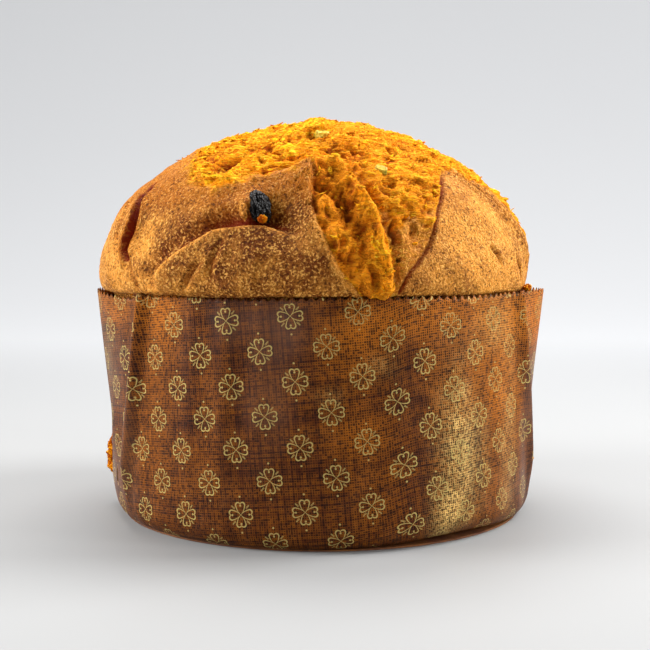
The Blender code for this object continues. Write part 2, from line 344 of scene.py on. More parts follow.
domeTurn = np.linspace(0, math.pi / 2, 1500)
lipTurn = np.linspace(0, math.pi / 2, 200)[1:]
profileRadius = np.concatenate([
    dome["radius"] * np.sin(domeTurn) ** 1.25,
    dome["lipRadius"] + (dome["radius"] - dome["lipRadius"]) * np.cos(lipTurn) ** 0.35,
    [dome["lipRadius"]],
])
profileHeight = np.concatenate([
    dome["waist"] + dome["rise"] * np.cos(domeTurn) ** (2 / 2.4),
    dome["waist"] - (dome["waist"] - dome["lipBottom"]) * np.sin(lipTurn),
    [dome["lipBottom"] - 4],
])
profileRun = np.concatenate([[0], np.cumsum(np.hypot(np.diff(profileRadius), np.diff(profileHeight)))])


def domeAt(azimuth, run):
    # points of the plain dome in millimetres, and their normals, from azimuths and runs down from the top
    radius = np.interp(run, profileRun, profileRadius)
    height = np.interp(run, profileRun, profileHeight)
    ahead, behind = run + 0.4, run - 0.4
    slopeRadius = np.interp(ahead, profileRun, profileRadius) - np.interp(behind, profileRun, profileRadius)
    slopeHeight = np.interp(ahead, profileRun, profileHeight) - np.interp(behind, profileRun, profileHeight)
    size = np.hypot(slopeRadius, slopeHeight) + 1e-9
    turn = np.radians(azimuth)
    radius = radius * (1 - dome["lean"] * np.sin(turn))
    places = np.stack([radius * np.sin(turn), -radius * np.cos(turn), height], axis=-1)
    outward = -slopeHeight / size
    normals = np.stack([outward * np.sin(turn), -outward * np.cos(turn), slopeRadius / size], axis=-1)
    return places, normals


def runAtHeight(height):
    return np.interp(-np.asarray(height, dtype=float), -profileHeight, profileRun)


def smoothPath(path, steps=7):
    # a rounded line through the path's points
    points = [Vector((a, h)) for a, h in path]
    points = [points[0] * 2 - points[1], *points, points[-1] * 2 - points[-2]]
    made = []
    for i in range(1, len(points) - 2):
        a, b, c, d = points[i - 1:i + 3]
        for k in range(steps):
            t = k / steps
            made.append(0.5 * (2 * b + (c - a) * t + (2 * a - 5 * b + 4 * c - d) * t ** 2
                               + (3 * b - a - 3 * c + d) * t ** 3))
    made.append(points[-2])
    return np.array([tuple(p) for p in made])


def measureSeam(path, places, normals):
    # signed distance from a seam: positive to the right of one that runs down the front
    line = smoothPath(path)
    corners, _ = domeAt(line[:, 0], runAtHeight(line[:, 1]))
    best = np.full(len(places), 1e9)
    side = np.ones(len(places))
    share = np.zeros(len(places))
    for i in range(len(corners) - 1):
        start, span = corners[i], corners[i + 1] - corners[i]
        along = np.clip(((places - start) @ span) / (span @ span), 0, 1)
        away = places - (start + along[:, None] * span)
        far = np.sqrt((away ** 2).sum(1))
        near = far < best
        best[near] = far[near]
        side[near] = -np.sign((normals * np.cross(away, span)).sum(1))[near]
        share[near] = ((i + along) / (len(corners) - 1))[near]
    return best * side, share


def shapeLoaf(places, normals, azimuth, run):
    # how far the crust stands out from the plain dome, and the masks of its finish
    height = places[:, 2]
    at = {name: measureSeam(path, places, normals) for name, path in seamPaths.items()}

    def fade(share, start=0.15, end=0.15):
        return smoothStep(share / start) * smoothStep((1 - share) / end)

    broad = roughness(places, 26, 2, 1)
    middle = roughness(places, 9, 3, 2)
    small = roughness(places, 2.6, 3, 3)
    wobble = roughness(places, 6, 2, 4)

    # where the crust tore open and shows crumb
    edges = [(-180, 132), (-150, 134), (-120, 142), (-95, 149.5), (-75, 149), (-60, 146), (-50, 140.5),
             (-42, 134.5), (-35, 131),
             (-28, 130), (-22, 132.5), (-17, 134.5), (-8, 136.5), (-1, 138), (20, 137), (31, 139.2),
             (43, 138.2),
             (54, 135), (60, 131.5), (66, 126.5), (73, 119), (79, 112), (86, 108), (98, 110), (112, 124),
             (125, 136), (145, 138), (180, 132)]
    crumbLine = np.interp(azimuth, [a for a, _ in edges], [h for _, h in edges])
    top = smoothStep((height - crumbLine + 3.5 * wobble) / (3.0 + 7 * bump(azimuth + 62, 34)) + 0.5)
    leftOf = at["tearLeft"][0] + 0.9 * wobble
    rightOf = at["tearRidge"][0] + 1.0 * wobble
    arc = at["rightArc"][0] + 0.3 * wobble
    strip = smoothStep(leftOf / 1.2) * smoothStep((3.0 - rightOf) / 1.6) * smoothStep((143 - height) / 4)
    strip *= (np.abs(azimuth - 8) < 40)
    between = smoothStep((rightOf - 1.0) / 2.0) * smoothStep((-arc - 0.4) / 1.2)
    between *= (np.abs(azimuth - 25) < 30)
    patches = smoothStep((height - 117) / 9 + 1.0 * wobble + 0.55)
    rightField = between * np.clip(patches, 0.25, 0.95)
    rearStrip = (smoothStep(at["rearTearSide"][0] / 1.2) * smoothStep(-at["rearTear"][0] / 1.2)
        * (np.abs(azimuth) > 120))
    crumb = np.clip(np.maximum.reduce([top, strip, rightField, rearStrip]), 0, 1)

    out = 0.9 * broad + 0.40 * middle * (1 - crumb)
    across = [-92, -79, -68, -58, -48, -38, -28, -18, -8, -3, 2, 12, 22, 32, 42, 47, 57, 67, 77, 84, 92]
    sunk = [1.6, 1.5, 2.7, 2.3, 2.3, 2.6, 3.0, 2.8, 2.6, 1.0, 0.2, 1.2, 1.5, 1.5, 1.2, 1.9, 2.2, 2.0, 1.6,
            0.2, -0.4]
    out -= np.interp(places[:, 0], across, sunk) * smoothStep((height - 98) / 16)
    out += 0.17 * small * (1 - crumb)

    # the long fold: the lower lobe rolls over and stands out, with a hollow above it
    far, share = at["fold"]
    ends = fade(share, 0.25, 0.10)
    lobe = smoothStep((far + 0.2) / 2.0) * np.exp(-np.clip(far, 0, None) / 20)
    hollow = bump(far + 3.0, 3.8) * smoothStep((0.8 - far) / 1.6)
    pocket = bump(share - 0.40, 0.22)
    out += ends * (3.6 * lobe - (2.4 + 3.2 * pocket) * hollow)
    out -= ends * (1.8 + 1.2 * pocket) * bump(far + 0.5, 0.9)
    # painted shade in the hollow above the fold, darkest in its pocket
    paintedShade = ends * (0.80 + 0.20 * pocket) * bump(far + 1.3 + 1.2 * pocket, 1.0 + 1.6 * pocket)
    # rim: a painted highlight along the lower lobe's top edge
    rim, foldEnds = ends * bump(far - 1.2, 1.3), ends

    # wrinkles and slits sink in, with painted shade along their floors
    for name, depth, width in (("lowerWrinkle", 0.9, 1.2), ("leftWrinkle", 1.2, 1.1),
                               ("farLeftSlit", 1.3, 0.8),
                               ("rightWrinkle", 0.9, 0.9), ("rightWrinkleLow", 0.9, 1.0)):
        far, share = at[name]
        out -= 1.5 * depth * bump(far, width) * fade(share, 0.3, 0.3)
        out += 0.5 * bump(far - 2.4, 1.6) * fade(share, 0.3, 0.3)
        paintedShade = np.maximum(paintedShade, 0.45 * bump(far, 0.55 * width) * fade(share, 0.3, 0.3))

    # the deep split at the left, with lips that curl out on both of its sides
    far, share = at["leftSplit"]
    ends = fade(share, 0.25, 0.12)
    halfWidth = 1.6 * (0.30 + 0.70 * bump(share - 0.55, 0.33)) * (1 + 0.25 * small)
    inside = smoothStep((halfWidth + 0.6 - np.abs(far)) / 1.0) * ends
    out -= 4.6 * inside
    out += 1.3 * bump(np.abs(far) - halfWidth - 1.6, 1.6) * ends
    out += 1.2 * smoothStep(-far / 2) * np.exp(-np.clip(-far, 0, None) / 14) * fade(share, 0.2, 0.05)
    # painted shade on the split's inner walls and down its foot
    wall = smoothStep((halfWidth + np.where(far < 0, 1.1, 0.6) - np.abs(far)) / 0.6) * smoothStep(ends * 4)
    paintedShade = np.maximum(paintedShade, wall)
    far, share = at["leftSplitFoot"]
    out -= 1.7 * bump(far, 0.9)
    paintedShade = np.maximum(paintedShade, 0.4 * bump(far, 0.7))
    far, share = at["farLeftLip"]
    out -= 1.1 * bump(far, 0.8) * fade(share)
    out += 0.7 * bump(far + 1.8, 1.2) * fade(share)

    # the torn strip at the front: a thin lip of skin at its left, a proud ridge at its right
    far, share = at["tearLeft"]
    shareLeft = share
    out += 0.9 * bump(far + 0.8, 0.9) * fade(share, 0.05, 0.05)
    out -= 1.1 * strip * (1 - bump(at["tearRidge"][0], 4.5)) * smoothStep((140 - height) / 10)
    acrossStrip = np.clip(leftOf / (leftOf - rightOf + 1e-6), 0, 1)
    folds = (np.sin(acrossStrip * 9.5 + 1.3 * middle + 0.05 * height) + 0.5
        * np.sin(acrossStrip * 17 + 2 * wobble))
    out += 1.15 * strip * folds
    # a groove beside the ear, with painted shadow in it
    shade = smoothStep((0.36 - shareLeft) / 0.15) * fade(shareLeft, 0.04, 0.05)
    out -= 2.2 * bump(at["tearLeft"][0] - 1.9, 1.3) * shade
    paintedShade = np.maximum(paintedShade, 0.8 * bump(at["tearLeft"][0] - 1.3, 0.9) * shade)
    ear = bump(np.hypot(azimuth + 3.5, (height - 135.0) * 1.1), 5.5) * smoothStep(-far / 1.0)
    out += 2.6 * ear
    farRidge, shareRidge = at["tearRidge"]
    out += (2.6 + 0.9 * wobble) * bump(farRidge + 1.0, 2.1) * fade(shareRidge, 0.40, 0.03)
    out += 2.6 * bump(np.hypot((azimuth - 13.0) * 1.5, height - 92.5), 6.0)      # the drooping tip
    # a groove right of the ridge, with painted shade in it
    out -= (2.0 + 1.2 * wobble) * bump(farRidge - 2.4, 1.5) * fade(shareRidge, 0.3, 0.1)
    paintedShade = np.maximum(paintedShade, 0.55 * bump(farRidge - 2.3, 0.9) * fade(shareRidge, 0.35, 0.1)
                      * smoothStep(0.5 + 1.5 * wobble))
    # the crust that rides up on the raisin, and the hollow beside it
    out += (4.4 * bump(np.hypot((azimuth + 17.6) * 1.25, (height - 121.2) * 0.85), 4.4)
        * smoothStep((-13.6 - azimuth) / 2.2))
    out -= 2.4 * bump(np.hypot((azimuth + 11.0) * 1.3, (height - 121.0) * 0.8), 4.2)
    # the slope of the front lobe below its top edge falls in a little
    out -= 1.4 * bump(np.hypot((azimuth + 8) * 0.9, (height - 121) * 0.8), 11)
    crumbPits = ((6, 125, 2.4, 2.2), (8.6, 120, 2.0, 1.8), (11.7, 114.7, 2.2, 2.0), (13.7, 94, 1.3, 0.9),
                 (4.5, 108, 1.8, 1.0), (3.0, 119, 1.5, 1.2), (-1, 151.8, 4.2, 3.6),
                 (8.7, 143.2, 3.2, 3.0), (1.8, 130.5, 3.0, 4.4), (21.5, 131.0, 1.8, 1.6),
                 (28.0, 121.0, 1.5, 1.2), (-20, 147, 3, 1.6), (40, 147, 3, 1.8), (-170, 118, 2.2, 2.2))
    # dark pits: sunk in, with painted shade in them
    for a, h, size, depth in crumbPits:
        centre, _ = domeAt(np.array([a]), np.array([runAtHeight(h)]))
        away = (places - centre) * np.array([1.0, 1.0, 0.75])
        gap = np.sqrt((away ** 2).sum(1)) * (1 + 0.6 * small + 0.4 * wobble)
        out -= 1.25 * depth * bump(gap, size)
        paintedShade = np.maximum(paintedShade, 0.9 * bump(gap, size * 0.75))

    # fissures with painted shade along their floors
    for name in ("fieldFissure", "fieldFissureLow"):
        far, share = at[name]
        far = far + 1.3 * wobble
        torn = fade(share, 0.12, 0.12) * smoothStep(0.75 + 1.2 * middle)
        out += torn * (0.9 * bump(np.abs(far) - 2.0, 1.1) - 2.8 * bump(far, 1.1 + 0.5 * small))
        paintedShade = np.maximum(paintedShade, 0.85 * torn * bump(far, 0.9))

    # the right lobe lies over its neighbour, and the rough band stands behind it
    far, share = at["rightArc"]
    out += 1.0 * smoothStep((0.3 + far) / 0.7) * np.exp(-np.clip(far, 0, None) / 30) * fade(share, 0.06, 0.06)
    out -= 0.8 * bump(far + 0.6, 0.6) * fade(share, 0.05, 0.05)
    # painted shadow line along the foot of the right lobe's edge
    paintedShade = np.maximum(paintedShade, 0.8 * bump(far + 0.3, 0.55) * fade(share, 0.04, 0.04))
    far, share = at["backBand"]
    out += (1.3 * bump(far - 4.2, 3.2) * fade(share, 0.1, 0.2) + 0.9 * bump(far + 1.4, 1.3)
        * fade(share, 0.1, 0.2))
    out -= 1.1 * bump(far - 0.4, 0.9) * fade(share, 0.1, 0.2)
    far, share = at["frontTop"]
    out += 0.8 * bump(far, 2.0) * fade(share, 0.05, 0.3)

    for name, tall in (("rearTear", 2.4), ("rearTearSide", 2.0)):
        far, share = at[name]
        out += tall * bump(far, 2.6) * fade(share, 0.2, 0.05)
    # behind: painted shade along the rear arc, fold and split
    far, share = at["rearArc"]
    out += 1.7 * smoothStep((far + 0.3) / 0.9) * np.exp(-np.clip(far, 0, None) / 24) * fade(share)
    paintedShade = np.maximum(paintedShade, 0.5 * bump(far, 0.5) * fade(share))
    far, share = at["rearFold"]
    out += (fade(share)
        * (2.2 * smoothStep((far + 0.3) / 1.4) * np.exp(-np.clip(far, 0, None) / 20) - 1.6
           * bump(far + 2, 2.6)))
    paintedShade = np.maximum(paintedShade, 0.45 * bump(far, 0.7) * fade(share))
    far, share = at["rearSplit"]
    inside = smoothStep((2.0 - np.abs(far)) / 1.0) * fade(share, 0.2, 0.1)
    out += 1.3 * bump(np.abs(far) - 3.2, 1.8) * fade(share) - 4.2 * inside
    paintedShade = np.maximum(paintedShade, 0.8 * inside)

    # torn crumb: long fibres, open pores and soft hollows
    warp = roughness(places, 11, 2, 7)[:, None] * np.array([3.0, 2.0, 4.0])
    stretched = (places + warp) * np.array([0.55, 1.2, 2.0])
    inStrip = np.maximum(strip, rearStrip)[:, None]
    stretched = stretched * (1 - inStrip) + (places + warp) * np.array([1.5, 1.2, 0.6]) * inStrip
    fibre = 0.5 - 1.9 * np.abs(roughness(stretched, 5.2, 3, 5))
    threads = 0.4 - 1.6 * np.abs(roughness(stretched, 2.4, 2, 17))
    pores = roughness(places, 3.6, 2, 6)
    calm = smoothStep((height - 88) / 5)
    crumbRelief = 1.4 * fibre + 0.4 * threads + 0.25 * pores + 2.0 * middle
    out += crumb * calm * crumbRelief
    # painted shade in the low crumb
    paintedShade = np.maximum(paintedShade, crumb * np.clip(-0.75 - crumbRelief, 0, 1) * 0.6)

    out *= 1 - 0.65 * smoothStep((93 - height) / 2.2)

    # finish masks: the browning, which also carries painted shade and painted light, and the edge colour
    browningAndShading = 0.45 + 0.30 * broad + 0.15 * middle
    # painted shade on the front lobe below the fold, and in the hollow above the fold
    browningAndShading += 0.20 * bump(azimuth + 8, 30) * smoothStep((116 - height) / 14)
    browningAndShading += 0.60 * bump(np.hypot(azimuth + 9, (height - 123) * 1.1), 14)
    browningAndShading += 0.50 * bump(np.hypot((azimuth + 46) * 0.8, height - 133), 17)
    # painted light: the side lobes are lighter
    browningAndShading -= 0.30 * bump(azimuth + 62, 26) * smoothStep((128 - height) / 20) + 0.25 * bump(azimuth - 52, 24)
    # painted shade where the dough meets the paper, and the painted highlight along the lower lobe's top edge
    browningAndShading += 0.5 * smoothStep((91.5 - height) / 2) - 0.85 * rim
    browningAndShading -= 0.6 * bump(at["tearLeft"][0] + 0.5, 0.7)
    # more painted shade above the fold
    browningAndShading += 0.40 * foldEnds * bump(at["fold"][0] + 4.5, 4.5)
    # in the crumb: lighter where the relief stands proud and darker where it lies low, as painted light and
    # painted shade
    browningAndShading = np.clip(browningAndShading, 0, 1) * (1 - crumb) + crumb * np.clip(
        0.48 + 0.30 * fibre + 0.20 * threads + 0.34 * middle + 0.08 * pores - 0.12 * strip
        * (1 - bump(rightOf + 1.5, 3.5)) - 0.05 * rightField, 0, 1)
    edge = 0.95 * smoothStep((height - 114 + 5 * middle) / 17) * (1 - 0.75 * bump(azimuth - 50, 22))
    edge *= 1 - 0.45 * bump(azimuth + 6, 14) * smoothStep((132 - height) / 8)
    edge = np.maximum(edge, 0.95 * bump(np.abs(at["leftSplit"][0]) - 2.7, 1.2)
                      * fade(at["leftSplit"][1], 0.2, 0.1))
    edge = np.maximum(edge, 0.45 * bump(at["tearLeft"][0] + 0.4, 0.5))
    edge = np.maximum(edge, 0.9 * bump(at["frontTop"][0], 3.0) * fade(at["frontTop"][1], 0.05, 0.3))
    edge = edge * (1 - crumb) + crumb * np.clip(0.95 * strip * (1 - 0.5 * bump(rightOf + 1.5, 3)) + 0.35
                                                * rightField
                                                + 0.55 * bump(azimuth - 75, 18), 0, 1)
    return out, crumb, paintedShade, browningAndShading, edge


def buildLoaf():
    clearSelection()
    bpy.ops.mesh.primitive_grid_add(x_subdivisions=dome["cells"], y_subdivisions=dome["cells"], size=2)
    loaf = bpy.context.object
    loaf.name = loaf.data.name = "loaf_crust"
    square = vertexPlaces(loaf)
    x, y = square[:, 0], square[:, 1]
    wide = np.abs(x) > np.abs(y)
    with np.errstate(divide="ignore", invalid="ignore"):
        reach = np.where(wide, np.abs(x), np.abs(y))
        turn = np.where(wide, np.pi / 4 * y / x, np.pi / 2 - np.pi / 4 * x / y)
    turn = np.nan_to_num(turn)
    turn = np.where(np.where(wide, x, y) < 0, turn + np.pi, turn)
    azimuth = (np.degrees(turn) + 90 + 180) % 360 - 180
    run = reach * profileRun[-1]
    places, normals = domeAt(azimuth, run)
    out, crumb, paintedShade, browningAndShading, edge = shapeLoaf(places, normals, azimuth, run)
    settle = smoothStep((profileRun[-1] - run) / 3.0)     # nothing moves where the dough meets the paper
    places = places + normals * (out * settle)[:, None]
    places[:, 0] += dome["shift"] * smoothStep((places[:, 2] - 86) / 6)
    placeVertices(loaf, places * mm)
    addMask(loaf, "masks", [crumb, paintedShade, browningAndShading, 1 - edge])
    # the rest of the loaf goes down into the case and closes at the base
    clearSelection()
    bpy.context.view_layer.objects.active = loaf
    loaf.select_set(True)
    bpy.ops.object.mode_set(mode="EDIT")
    bpy.ops.mesh.select_all(action="DESELECT")
    bpy.ops.mesh.select_mode(type="EDGE")
    bpy.ops.mesh.select_non_manifold()
    for down, shrink in ((30, 1.0), (46, 0.985), (7.5, 0.93)):
        bpy.ops.mesh.extrude_region_move(TRANSFORM_OT_translate={"value": (0, 0, -down * mm)})
        bpy.ops.transform.resize(value=(shrink, shrink, 1.0), center_override=(0, 0, 0))
    bpy.ops.mesh.edge_face_add()
    bpy.ops.object.mode_set(mode="OBJECT")
    recalculate(loaf)
    return loaf, azimuth, run, crumb


print("loaf")
loaf, domeAzimuth, domeRun, domeCrumb = buildLoaf()
finishPiece(loaf, loafMaterial, "crust", "loaf")

# fruit that shows at the crust, and the crumb that pushes through the paper

def crustFrame(azimuth, height):
    # the crust's own point nearest to a place on the dome, with the ways out, up and across there
    gap = ((np.abs((domeAzimuth - azimuth + 180) % 360 - 180) * 1.2) ** 2 + (domeRun - runAtHeight(height))
        ** 2)
    nearest = int(np.argmin(gap))
    point = loaf.data.vertices[nearest].co / mm
    _, normal = domeAt(np.array([azimuth]), np.array([runAtHeight(height)]))
    normal = Vector(normal[0])
    up = (Vector((0, 0, 1)) - normal * normal.z).normalized()
    return point, normal, up


def roundBody(name, half, subdivisions, shape):
    # a lump with half sizes across, deep and along, shaped by a function of its unit directions
    clearSelection()
    bpy.ops.mesh.primitive_ico_sphere_add(subdivisions=subdivisions, radius=1)
    lump = bpy.context.object
    lump.name = lump.data.name = name
    ways = vertexPlaces(lump)
    placeVertices(lump, ways * np.array(half) * shape(ways)[:, None])
    return lump


def setOnCrust(lump, azimuth, height, turn, sunk):
    point, normal, up = crustFrame(azimuth, height)
    across = up.cross(normal)
    angle = math.radians(turn)
    along = up * math.cos(angle) + across * math.sin(angle)
    frameAt = Matrix((along.cross(normal), normal, along)).transposed().to_4x4()
    if frameAt.determinant() < 0:
        frameAt = Matrix((normal.cross(along), normal, along)).transposed().to_4x4()
    lump.data.transform(Matrix.Scale(mm, 4) @ Matrix.Translation(point - normal * sunk) @ frameAt)


fruitLook = {
    "raisin": colour(5, 3, 3),
    "raisinRed": colour(92, 30, 18),
    "citron": colour(214, 176, 52),
    "citronGreen": colour(150, 136, 30),
}


def buildFruitMaterial(name, first, second, gloss, coat):
    material, tree, surface = newMaterial(name)
    wires = Wires(tree)
    place = wires.node("ShaderNodeTexCoord").outputs["Object"]
    clouds = wires.cloud(place, 420, 4, 0.6)
    wires.join(wires.mix(wires.spread(clouds, 0.42, 0.64, smooth=True), first, second),
               surface.inputs["Base Color"])
    wires.join(wires.spread(clouds, 0.3, 0.7, gloss, gloss + 0.16), surface.inputs["Roughness"])
    surface.inputs["Coat Weight"].default_value = coat
    surface.inputs["Coat Roughness"].default_value = 0.12
    surface.inputs["Specular IOR Level"].default_value = 0.13
    relief = wires.node("ShaderNodeBump")
    relief.inputs["Strength"].default_value = 0.4
    relief.inputs["Distance"].default_value = 0.0003
    wires.join(wires.cloud(place, 800, 2, 0.5), relief.inputs["Height"])
    wires.join(relief.outputs[0], surface.inputs["Normal"])
    return material


raisinMaterial = buildFruitMaterial("raisinSkin", fruitLook["raisin"], colour(8, 5, 4), 0.16, 0.0)
splitRaisinMaterial = buildFruitMaterial("soakedRaisin", fruitLook["raisinRed"], colour(58, 16, 10), 0.25,
                                         0.5)
citronMaterial = buildFruitMaterial("candiedCitron", fruitLook["citron"], fruitLook["citronGreen"], 0.42,
                                    0.15)
citronMaterial.node_tree.nodes["Principled BSDF"].inputs["Subsurface Weight"].default_value = 0.35
citronMaterial.node_tree.nodes["Principled BSDF"].inputs["Subsurface Radius"].default_value = (0.003, 0.0025,
        0.0006)

print("fruit")


def raisinShape(ways):
    pleats = roughness(ways * np.array([6.5, 6.5, 1.7]), 2.6, 3, 8, "ridged")
    dents = roughness(ways * 3, 2.0, 2, 9)
    return 1 + 0.22 * np.clip(pleats, -1, 1) + 0.13 * dents


def peelShape(ways):
    # a diced piece, so rounder than a cube and flatter than a ball
    square = 1 / np.maximum(np.abs(ways).max(1), 0.78)
    return 0.86 * square * (1 + 0.16 * roughness(ways * 3, 1.6, 3, 12))


fruit = [
    ("raisin_front", (3.7, 3.4, 6.3), raisinShape, raisinMaterial, "raisin", (-14.6, 123.6), -24, -0.6),
    ("raisin_split", (2.1, 2.4, 5.0), raisinShape, splitRaisinMaterial, "raisin", (-55.0, 109.0), 8, -0.7),
    ("citron_top", (3.4, 2.6, 4.0), peelShape, citronMaterial, "citron", (4.0, 152.5), -20, 1.6),
    ("citron_side", (2.7, 1.9, 2.1), peelShape, citronMaterial, "citron", (20.0, 136.0), 30, 1.1),
]
for name, half, shape, material, slot, (azimuth, height), turn, sunk in fruit:
    lump = roundBody(name + "_fruit", half, 6 if shape is raisinShape else 5, shape)
    setOnCrust(lump, azimuth, height, turn, sunk)
    recalculate(lump)
    finishPiece(lump, material, slot, name)

# the crust that laps over the raisin's left side
lap = roundBody("raisin_lap", (1.5, 1.5, 4.6), 5, lambda ways: 1 + 0.12 * roughness(ways * 4, 1.6, 3, 18))
setOnCrust(lap, -18.0, 121.2, -16, -0.4)
count = len(lap.data.vertices)
addMask(lap, "masks", [np.zeros(count), np.zeros(count), np.full(count, 0.55), np.full(count, 0.6)])
recalculate(lap)
finishPiece(lap, loafMaterial, "crust")

needleCrumbs = [
    {"name": "crumb_rim_left", "azimuth": -79.0, "height": 91.6, "half": (4.6, 1.8, 1.9), "radius": 86.6},
    {"name": "crumb_rim_front", "azimuth": -56.0, "height": 91.4, "half": (3.0, 1.6, 1.7), "radius": 86.4},
    {"name": "crumb_rim_right", "azimuth": 72.0, "height": 91.4, "half": (3.6, 1.5, 1.5), "radius": 85.6},
    {"name": "crumb_left", "azimuth": -88.0, "height": 21.0, "half": (8.4, 6.2, 9.6), "radius": 83.4},
    {"name": "crumb_raisin", "azimuth": -14.0, "height": 117.0, "half": (1.6, 1.2, 1.3), "radius": 84.3},
    {"name": "crumb_right", "azimuth": 89.0, "height": 20.0, "half": (5.6, 4.9, 6.4), "radius": 83.4},
]


def crumbShape(ways):
    return 1 + 0.20 * roughness(ways * 5, 3.0, 4, 14, "ridged") + 0.14 * roughness(ways * 5, 1.2, 3, 15)


for crumbLump in needleCrumbs:
    lump = roundBody(crumbLump["name"], crumbLump["half"], 6, crumbShape)
    turn = math.radians(crumbLump["azimuth"])
    lump.data.transform(Matrix.Rotation(turn, 4, "Z"))
    lump.data.transform(Matrix.Translation((crumbLump["radius"] * math.sin(turn),
                                            -crumbLump["radius"] * math.cos(turn),
                                            crumbLump["height"])))
    lump.data.transform(Matrix.Scale(mm, 4))
    places = vertexPlaces(lump) / mm
    count = len(places)
    low = roughness(places, 2.2, 3, 16)
    addMask(lump, "masks", [np.ones(count), 0.35 * smoothStep(-low * 2.5), 0.22 + 0.6 * low, np.ones(count)])
    recalculate(lump)
    finishPiece(lump, loafMaterial, "crust")


# flakes of crumb that the tearing pulled up

flakes = {"count": 520, "long": (0.8, 2.4), "wide": (0.3, 0.8), "thick": (0.14, 0.3), "tilt": (0, 14)}


def buildFlakes(name, sources, settings, crumbShare):
    clearSelection()
    bpy.ops.mesh.primitive_ico_sphere_add(subdivisions=2, radius=1)
    seed = bpy.context.object
    ways = vertexPlaces(seed)
    faces = np.array([tuple(face.vertices) for face in seed.data.polygons])
    bpy.data.objects.remove(seed, do_unlink=True)
    allPlaces, allFaces, allDeep = [], [], []
    for index, (point, normal, lean) in enumerate(sources):
        up = (Vector((0, 0, 1)) - normal * normal.z).normalized()
        across = up.cross(normal).normalized()
        turn = lean + random.gauss(0, 0.5)
        along = (across * math.cos(turn) + up * math.sin(turn)).normalized()
        tilt = math.radians(random.uniform(*settings["tilt"])) * random.choice((-1, 1))
        along = (along * math.cos(tilt) + normal * math.sin(abs(tilt))).normalized()
        side = normal.cross(along).normalized()
        rise = along.cross(side)
        size = [random.uniform(*settings[key]) for key in ("long", "wide", "thick")]
        curl = random.uniform(-0.25, 0.45)
        shape = ways * (1 + 0.25 * np.sin(ways[:, [1, 2, 0]] * 3.1 + index))
        local = shape * np.array(size)
        local[:, 2] += curl * shape[:, 0] ** 2 * size[0] * 0.5
        frameAt = np.array([tuple(along), tuple(side), tuple(rise)])
        allPlaces.append(local @ frameAt
                         + np.array(tuple(point + normal * (0.12 + 0.25 * size[0] * math.sin(abs(tilt))))))
        allFaces.append(faces + index * len(ways))
        allDeep.append(np.full(len(ways), random.choice((0.0, 0.0, 0.05, 0.15))))
    mesh = bpy.data.meshes.new(name)
    mesh.from_pydata((np.concatenate(allPlaces) * mm).tolist(), [], np.concatenate(allFaces).tolist())
    made = bpy.data.objects.new(name, mesh)
    scene.collection.objects.link(made)
    count = len(mesh.vertices)
    addMask(made, "masks", [np.full(count, crumbShare), np.concatenate(allDeep), np.full(count, 0.62),
                            np.ones(count)])
    recalculate(made)
    return finishPiece(made, loafMaterial, "crust")


def flakeSources(count):
    # places in the torn crumb, more of them where it is roughest
    places = vertexPlaces(loaf) / mm
    shown = len(domeCrumb)
    chance = (domeCrumb * (places[:shown, 2] > 92)
        * (0.3 + np.clip(roughness(places[:shown], 9, 2, 41) + 0.3, 0, 1)))
    chance /= chance.sum()
    picked = np.random.default_rng(5).choice(shown, size=count, replace=False, p=chance)
    made = []
    for i in picked:
        normal = loaf.data.vertices[int(i)].normal.copy()
        lean = -1.1 if 0 < domeAzimuth[i] < 16 and places[i, 2] < 136 else 0.15
        made.append((Vector(places[i]), normal, lean))
    return made


print("crumb flakes")
buildFlakes("crumb_flakes", flakeSources(flakes["count"]), flakes, 1.0)


# the paper case: a printed strip wrapped round the loaf, its rim cut in teeth, and a round base

case = {
    "radius": 85.0,
    "height": 89.5,
    "paper": 0.3,
    "teeth": 163,
    "teethRound": 160,
    "columnsPerTooth": 5,
    "rows": 54,
    "toothDepth": 1.7,
    "cornerRadius": 7.0,
    "footRadius": 80.2,
    "flareFoot": 27.0,
}


def ridgeAzimuth(height, rim, low, foot):
    return np.interp(height, [5, 30, 90], [foot, low, rim])


def standOff(azimuth, height):
    # how far the paper stands off the loaf, in millimetres
    lift = np.clip((height - case["flareFoot"]) / (case["height"] - case["flareFoot"]), 0, 1.1)
    leftRidge = azimuth - ridgeAzimuth(height, -50.0, -57.5, -60.5)
    rightRidge = azimuth - ridgeAzimuth(height, 61.5, 71.5, 76.0)
    off = 4.2 * bump(leftRidge, 2.2) * smoothStep((height - 2) / 25) - 1.0 * lift * bump(leftRidge + 4.5, 2.6)
    off += 7.4 * lift ** 0.72 * smoothStep((-leftRidge - 3.5) / 32) * smoothStep((azimuth + 132) / 42)
    off += (3.0 * bump(rightRidge, 2.2) * smoothStep((height - 2) / 25) - 0.9 * lift
        * bump(rightRidge - 4.2, 2.4))
    off += 6.2 * lift ** 0.8 * smoothStep((rightRidge - 3.5) / 22) * smoothStep((124 - azimuth) / 34)
    # the tear at the left: the paper below it stands out, and the edge above it overhangs
    tearLine = 31 + 0.16 * (azimuth + 72) + 0.4 * np.sin(azimuth * 1.1)
    beside = bump(azimuth + 82, 15)
    off += 1.7 * beside * smoothStep((tearLine - height) / 1.2 + 0.5) * smoothStep((height - 3) / 14)
    off += (1.4 * bump(azimuth + 72, 9) * smoothStep((height - tearLine) / 1.4 + 0.3)
        * bump(height - tearLine, 9))
    # soft vertical waves all round, and a few pleats behind
    turn = np.radians(azimuth)
    off += 0.22 * np.sin(5 * turn + 0.8) + 0.16 * np.sin(11 * turn + height * 0.02) + 0.12 * np.sin(23 * turn)
    for where, tall in ((-158, 1.1), (140, 1.3), (104, 0.8), (36, 0.45), (-34, 0.6), (-24, 0.7), (-15, 0.6),
                        (-5, 0.45), (8, 0.3)):
        off += tall * bump(azimuth - where - (height - 50) * 0.03, 2.8) * smoothStep((height - 6) / 30)
    return np.clip(off + 0.45, 0.15, None)


